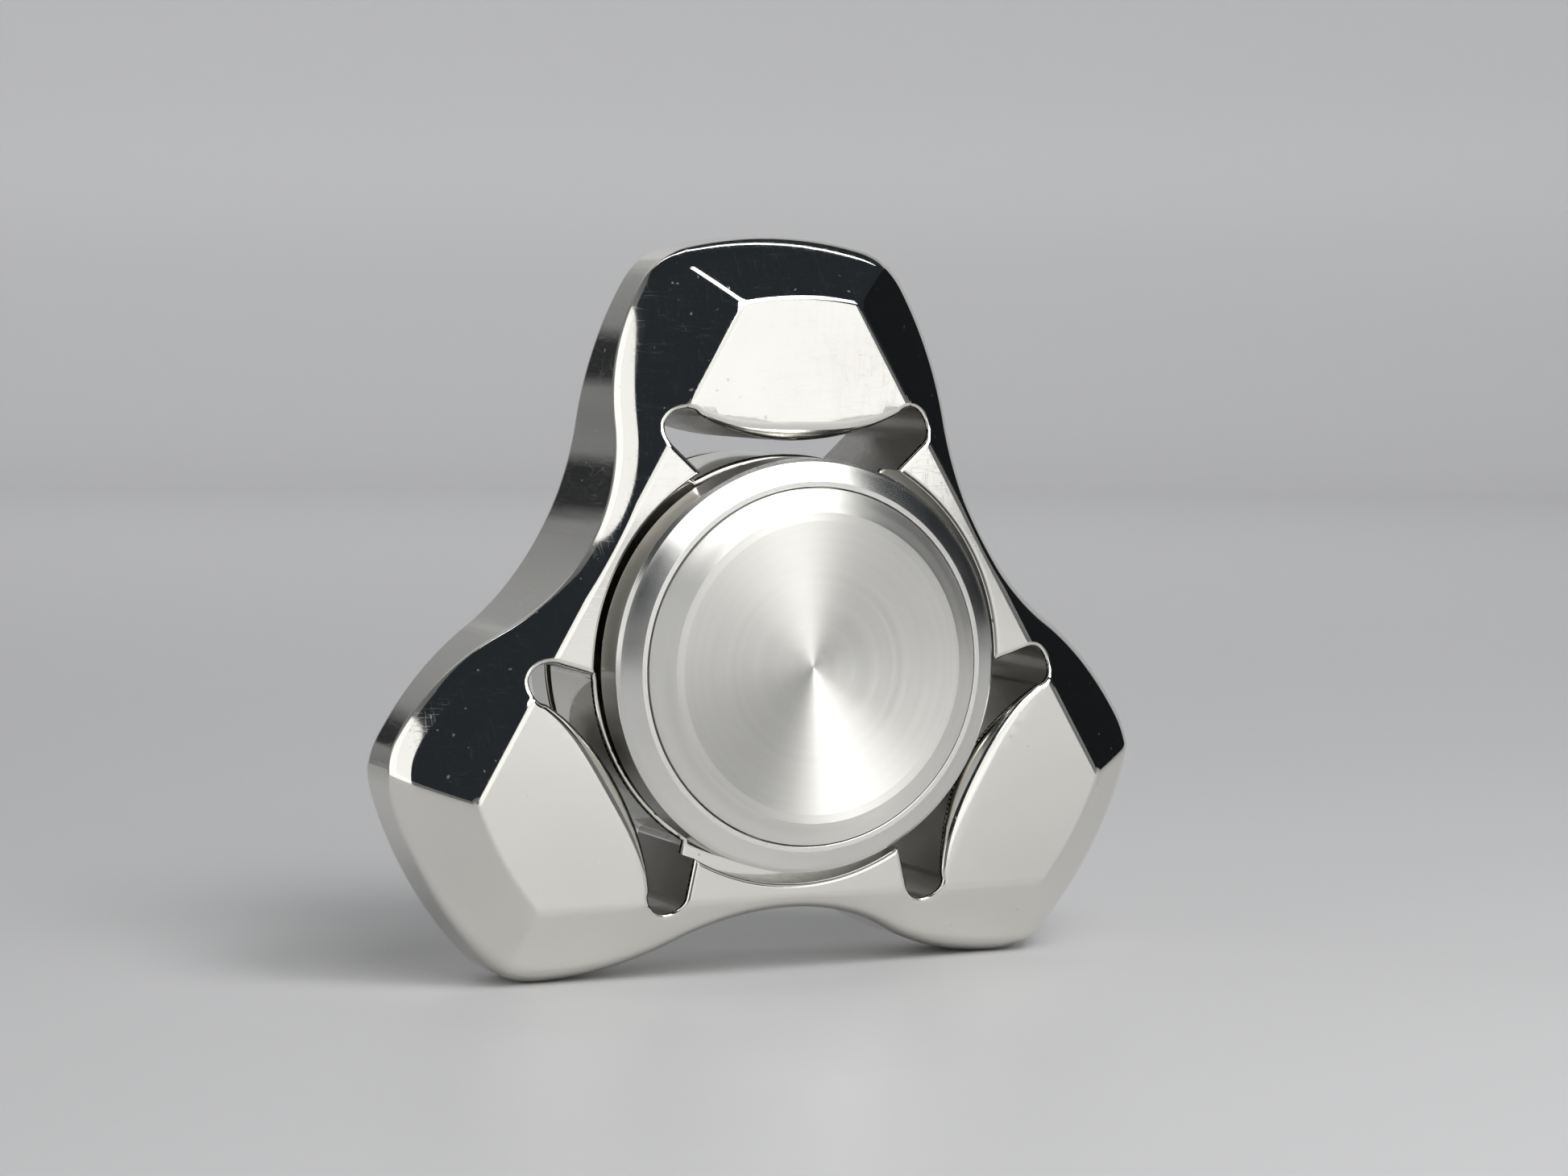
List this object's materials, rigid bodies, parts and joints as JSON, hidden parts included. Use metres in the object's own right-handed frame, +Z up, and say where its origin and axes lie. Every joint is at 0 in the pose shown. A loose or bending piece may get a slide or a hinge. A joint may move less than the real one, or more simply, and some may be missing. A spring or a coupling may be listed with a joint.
{
  "type": "fidget spinner",
  "caption": "Three-lobed polished steel hand spinner: beveled frame with crescent slots round a ball bearing, held between two dished finger buttons.",
  "frame": {"origin": "centre of the bearing, on the spin axis at half the frame's thickness", "axes": "+Y along the spin axis, from the front button to the back button; +Z up through the upper lobe as it stands on the other two; +X to the right seen from the front"},
  "size_m": [0.0494, 0.0174, 0.0446],
  "materials": {
    "polished_stainless": "mirror-polished stainless steel with fine wear scratches",
    "turned_stainless": "satin stainless steel with concentric turning marks",
    "bearing_steel": "ground and lapped bearing steel",
    "pressed_steel": "plain pressed steel sheet",
    "dark_steel": "black-oxide steel"
  },
  "bodies": {
    "grip": {"front_button": "polished_stainless", "front_button_insert": "turned_stainless", "back_button": "polished_stainless", "back_button_insert": "turned_stainless", "axle_stud": "dark_steel", "bearing_inner_race": "bearing_steel"},
    "rotor": {"rotor_body": "polished_stainless", "bearing_outer_race": "bearing_steel", "bearing_shield_front": "pressed_steel", "bearing_shield_back": "pressed_steel", "shield_snap_ring_front": "dark_steel", "shield_snap_ring_back": "dark_steel"},
    "cage": {"bearing_cage_front_half": "pressed_steel", "bearing_cage_back_half": "pressed_steel"},
    "ball_1": {"bearing_ball_1": "bearing_steel"},
    "ball_2": {"bearing_ball_2": "bearing_steel"},
    "ball_3": {"bearing_ball_3": "bearing_steel"},
    "ball_4": {"bearing_ball_4": "bearing_steel"},
    "ball_5": {"bearing_ball_5": "bearing_steel"},
    "ball_6": {"bearing_ball_6": "bearing_steel"},
    "ball_7": {"bearing_ball_7": "bearing_steel"}
  },
  "joints": [
    {"name": "rotor_spin", "type": "hinge", "parent": "grip", "child": "rotor", "pos_m": [0, 0, 0], "axis": [0, 1, 0], "continuous": true},
    {"name": "cage_spin", "type": "hinge", "parent": "grip", "child": "cage", "pos_m": [0, 0, 0], "axis": [0, 1, 0], "continuous": true},
    {"name": "ball_1_roll", "type": "hinge", "parent": "cage", "child": "ball_1", "pos_m": [0, 0, 0.0075], "axis": [0, 1, 0], "continuous": true},
    {"name": "ball_2_roll", "type": "hinge", "parent": "cage", "child": "ball_2", "pos_m": [-0.00586, 0, 0.00468], "axis": [0, 1, 0], "continuous": true},
    {"name": "ball_3_roll", "type": "hinge", "parent": "cage", "child": "ball_3", "pos_m": [-0.00731, 0, -0.00167], "axis": [0, 1, 0], "continuous": true},
    {"name": "ball_4_roll", "type": "hinge", "parent": "cage", "child": "ball_4", "pos_m": [-0.00325, 0, -0.00676], "axis": [0, 1, 0], "continuous": true},
    {"name": "ball_5_roll", "type": "hinge", "parent": "cage", "child": "ball_5", "pos_m": [0.00325, 0, -0.00676], "axis": [0, 1, 0], "continuous": true},
    {"name": "ball_6_roll", "type": "hinge", "parent": "cage", "child": "ball_6", "pos_m": [0.00731, 0, -0.00167], "axis": [0, 1, 0], "continuous": true},
    {"name": "ball_7_roll", "type": "hinge", "parent": "cage", "child": "ball_7", "pos_m": [0.00586, 0, 0.00468], "axis": [0, 1, 0], "continuous": true}
  ],
  "couplings": [
    {"joint": "cage_spin", "follows": "rotor_spin", "ratio": 0.6323},
    {"joint": "ball_1_roll", "follows": "rotor_spin", "ratio": 1.7573},
    {"joint": "ball_2_roll", "follows": "rotor_spin", "ratio": 1.7573},
    {"joint": "ball_3_roll", "follows": "rotor_spin", "ratio": 1.7573},
    {"joint": "ball_4_roll", "follows": "rotor_spin", "ratio": 1.7573},
    {"joint": "ball_5_roll", "follows": "rotor_spin", "ratio": 1.7573},
    {"joint": "ball_6_roll", "follows": "rotor_spin", "ratio": 1.7573},
    {"joint": "ball_7_roll", "follows": "rotor_spin", "ratio": 1.7573}
  ]
}
